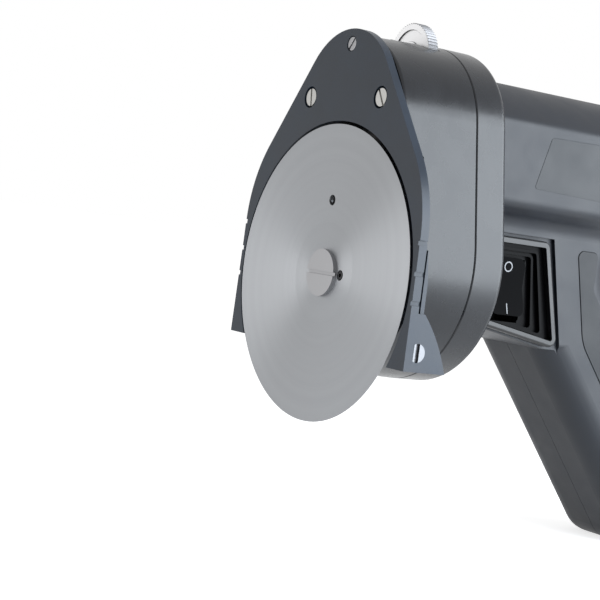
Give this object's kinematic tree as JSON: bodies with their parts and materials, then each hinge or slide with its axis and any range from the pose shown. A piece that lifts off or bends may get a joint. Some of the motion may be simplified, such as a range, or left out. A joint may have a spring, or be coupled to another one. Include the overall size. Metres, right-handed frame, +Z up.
{
  "type": "electric kebab knife",
  "caption": "Hand-held electric kebab knife: round blade, sliding tear-drop depth gauge, egg-shaped gear case, barrel motor housing and raked pistol grip with a rocker switch.",
  "frame": {"origin": "middle of the mouth of the power inlet's bore, in the grip's foot", "axes": "+Z up from the foot, -Y towards the blade along its axis, +X to the side that carries the switch"},
  "size_m": [0.1066, 0.1806, 0.1763],
  "materials": {
    "blade_steel": "brushed to a round grain",
    "screw_steel": "bright turned steel",
    "dark_screw": "blackened steel",
    "wheel_steel": "turned and knurled",
    "guard_plastic": "matte, finely spark eroded mould",
    "case_plastic": "satin moulded",
    "housing_plastic": "fine moulded texture",
    "soft_grip": "soft matte rubber",
    "switch_gloss": "polished",
    "switch_plastic": "moulded",
    "boot_rubber": "moulded rubber",
    "gear_steel": "cut and hardened",
    "shaft_steel": "ground",
    "bearing_steel": "polished",
    "bronze": "sintered bronze",
    "motor_steel": "zinc plated",
    "motor_plastic": "moulded nylon",
    "magnet": "sintered ferrite",
    "lamination": "stacked sheet",
    "copper": "turned copper",
    "carbon": "pressed carbon"
  },
  "bodies": {
    "housing": {"front_shell": "case_plastic", "rear_shell": "case_plastic", "gear_case_screws": "dark_screw", "guide_bushes": "bronze", "front_bearing": "bearing_steel", "rear_bearing": "bearing_steel", "spindle_seal": "boot_rubber", "idler_axle": "shaft_steel", "motor_front_cap": "motor_steel", "motor_can": "motor_steel", "motor_magnets": "magnet", "motor_rear_cap": "motor_plastic", "motor_brushes": "carbon", "motor_screws": "dark_screw", "housing_right": "housing_plastic", "housing_left": "housing_plastic", "housing_screws": "dark_screw", "grip_pad_right": "soft_grip", "grip_pad_left": "soft_grip", "rear_cap": "housing_plastic", "rear_cap_screws": "dark_screw", "cable_gland": "boot_rubber", "switch_bezel": "switch_plastic", "switch_boot": "boot_rubber", "switch_body": "switch_plastic"},
    "blade": {"blade": "blade_steel", "blade_screw": "screw_steel", "drive_pin": "screw_steel", "blade_spindle": "shaft_steel", "output_gear": "gear_steel"},
    "idler": {"idler_gear": "gear_steel", "idler_bush": "bronze"},
    "rotor": {"motor_shaft": "shaft_steel", "motor_pinion": "gear_steel", "rotor_core": "lamination", "commutator": "copper", "cooling_fan": "motor_plastic"},
    "guard": {"guard_plate": "guard_plastic", "guide_posts": "shaft_steel", "guide_post_screws": "screw_steel", "adjusting_spindle": "shaft_steel", "spindle_screw": "screw_steel", "wing_screws": "screw_steel"},
    "thumbwheel": {"thumbwheel": "wheel_steel"},
    "rocker": {"switch_rocker": "switch_gloss"}
  },
  "joints": [
    {"name": "blade_turn", "type": "hinge", "parent": "housing", "child": "blade", "pos_m": [0, -0.1615, 0.088], "axis": [0, 1, 0], "continuous": true},
    {"name": "idler_turn", "type": "hinge", "parent": "housing", "child": "idler", "pos_m": [0, -0.1615, 0.118], "axis": [0, 1, 0], "continuous": true},
    {"name": "rotor_turn", "type": "hinge", "parent": "housing", "child": "rotor", "pos_m": [0, -0.1615, 0.1355], "axis": [0, 1, 0], "continuous": true},
    {"name": "guard_slide", "type": "slide", "parent": "housing", "child": "guard", "axis": [0, -1, 0], "range_m": [0, 0.008]},
    {"name": "thumbwheel_turn", "type": "hinge", "parent": "housing", "child": "thumbwheel", "pos_m": [0, -0.1615, 0.1649], "axis": [0, 1, 0], "range_deg": [0, 1440]},
    {"name": "rocker_tilt", "type": "hinge", "parent": "housing", "child": "rocker", "pos_m": [0.0155, -0.1005, 0.0904], "axis": [0, 1, 0], "range_deg": [0, 16]}
  ],
  "couplings": [
    {"joint": "idler_turn", "follows": "blade_turn", "ratio": -2},
    {"joint": "rotor_turn", "follows": "blade_turn", "ratio": 2.6667},
    {"joint": "thumbwheel_turn", "follows": "guard_slide", "rad_per_m": 3141.5}
  ]
}
